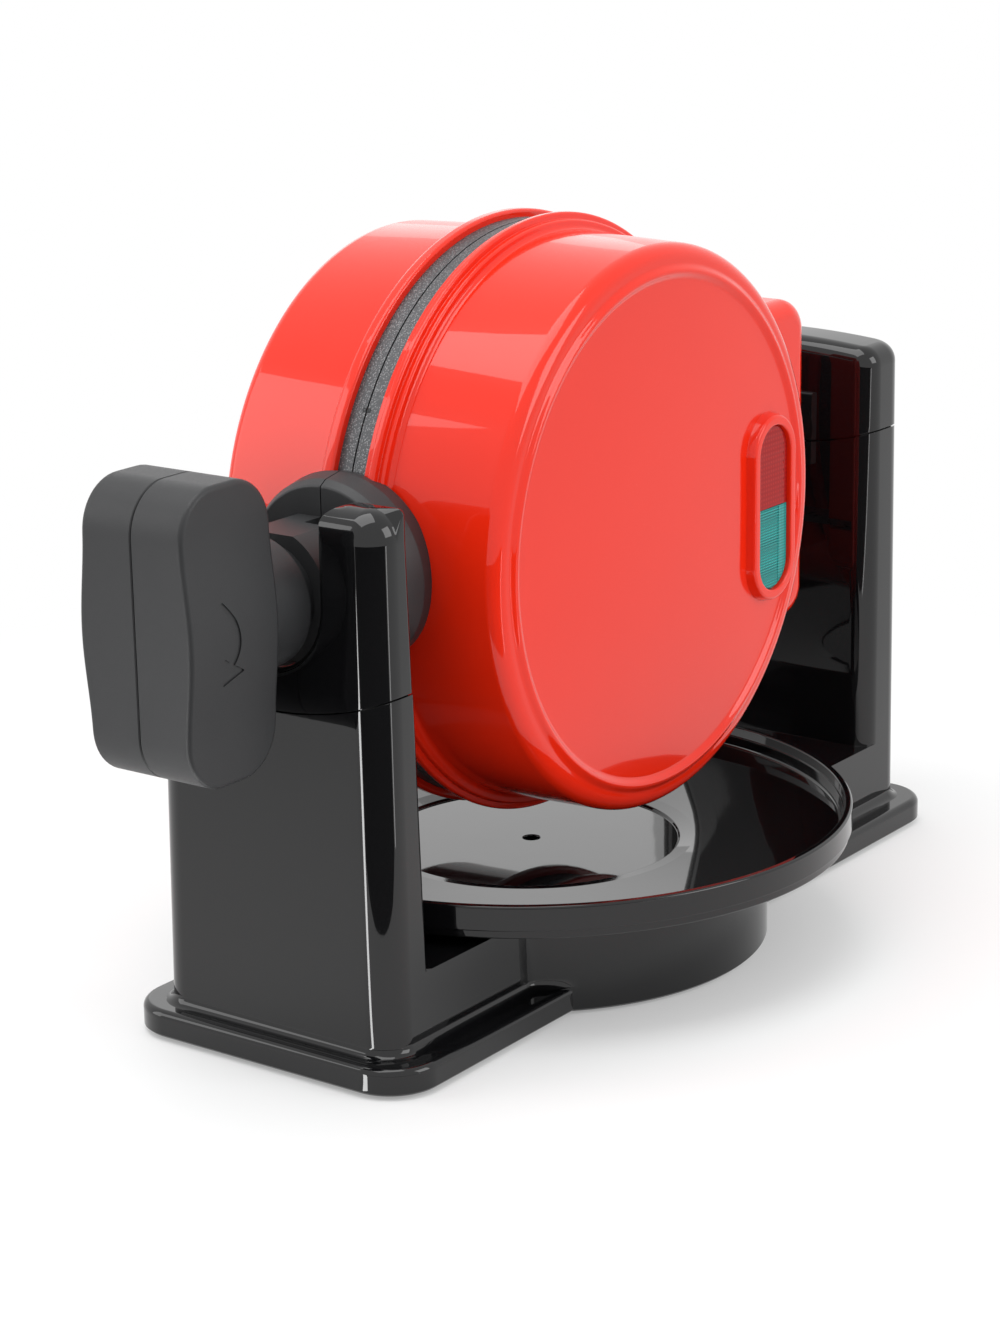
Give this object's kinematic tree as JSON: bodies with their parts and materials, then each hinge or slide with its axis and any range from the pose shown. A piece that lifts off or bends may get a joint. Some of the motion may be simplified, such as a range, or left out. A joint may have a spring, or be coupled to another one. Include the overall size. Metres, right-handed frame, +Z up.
{
  "type": "rotating waffle maker",
  "caption": "Rotating waffle maker: a round hinged head on a level shaft, in a stand with a drip tray and a front grip.",
  "frame": {"origin": "on the floor, in the middle of the machine's footprint", "axes": "+Z up, -Y towards the grip, +X towards the lid's lamps; the head stands on edge"},
  "size_m": [0.2288, 0.3942, 0.2593],
  "materials": {
    "black_gloss": "glossy black moulded plastic",
    "red_enamel": "glossy red enamel",
    "black_matte": "matte black moulded plastic",
    "grey_plate": "cast aluminium with a grey non-stick coat",
    "rubber_black": "black rubber",
    "lens_red": "clear dark red plastic",
    "lens_green": "clear green plastic",
    "steel": "plated steel",
    "aluminium_cast": "bare cast or sheet aluminium",
    "pale_plastic": "heat-resistant pale plastic"
  },
  "bodies": {
    "base": {"base_body": "black_gloss", "bottom_cover": "black_gloss", "rubber_feet": "rubber_black", "base_screws": "steel", "front_cap": "black_gloss", "rear_cap": "black_gloss", "cap_screws": "steel", "shaft_bearing": "pale_plastic", "cord_grommet": "black_matte", "terminal_block": "pale_plastic", "detent_spring": "steel"},
    "detent": {"detent_plunger": "steel"},
    "tray": {"drip_tray": "black_gloss"},
    "pin": {"hinge_pin": "steel", "pin_clips": "steel"},
    "lid": {"lid_housing": "red_enamel", "lid_plate": "grey_plate", "lid_plate_screws": "steel", "lid_heater": "steel", "lid_heat_shield": "aluminium_cast", "lid_shield_screws": "steel", "lid_hinge_blocks": "aluminium_cast", "collar_lid": "black_matte", "lamp_bezel": "red_enamel", "red_lens": "lens_red", "green_lens": "lens_green", "lamp_holder": "pale_plastic", "lamps": "pale_plastic"},
    "head": {"bracket_screws": "steel", "collar_fixed": "black_matte", "fixed_heat_shield": "aluminium_cast", "fixed_heater": "steel", "fixed_housing": "red_enamel", "fixed_plate": "grey_plate", "fixed_plate_screws": "steel", "fixed_shield_screws": "steel", "grip_core": "aluminium_cast", "grip_left": "black_matte", "grip_right": "black_matte", "grip_screws": "steel", "handle_stem": "black_gloss", "hinge_bracket": "steel", "notched_disc": "steel", "shaft_carrier": "aluminium_cast", "shaft_nut": "steel", "shaft_sleeve": "black_matte", "stem_screws": "steel", "thermal_fuse": "pale_plastic", "thermostat": "aluminium_cast"}
  },
  "joints": [
    {"name": "head_turn", "type": "hinge", "parent": "base", "child": "head", "pos_m": [0, 0.00495, 0.1554], "axis": [0, -1, 0], "range_deg": [-90, 90]},
    {"name": "lid_float", "type": "slide", "parent": "head", "child": "pin", "axis": [1, 0, 0], "range_m": [0, 0.006]},
    {"name": "lid_open", "type": "hinge", "parent": "pin", "child": "lid", "pos_m": [0.022, 0.12195, 0.1554], "axis": [0, 0, 1], "range_deg": [0, 90]},
    {"name": "tray_lift", "type": "slide", "parent": "base", "child": "tray", "axis": [0, 0, 1], "range_m": [0, 0.008]},
    {"name": "detent_drop", "type": "slide", "parent": "base", "child": "detent", "axis": [0, 0, -1], "range_m": [0, 0.002], "deforming": ["detent_spring"]}
  ]
}
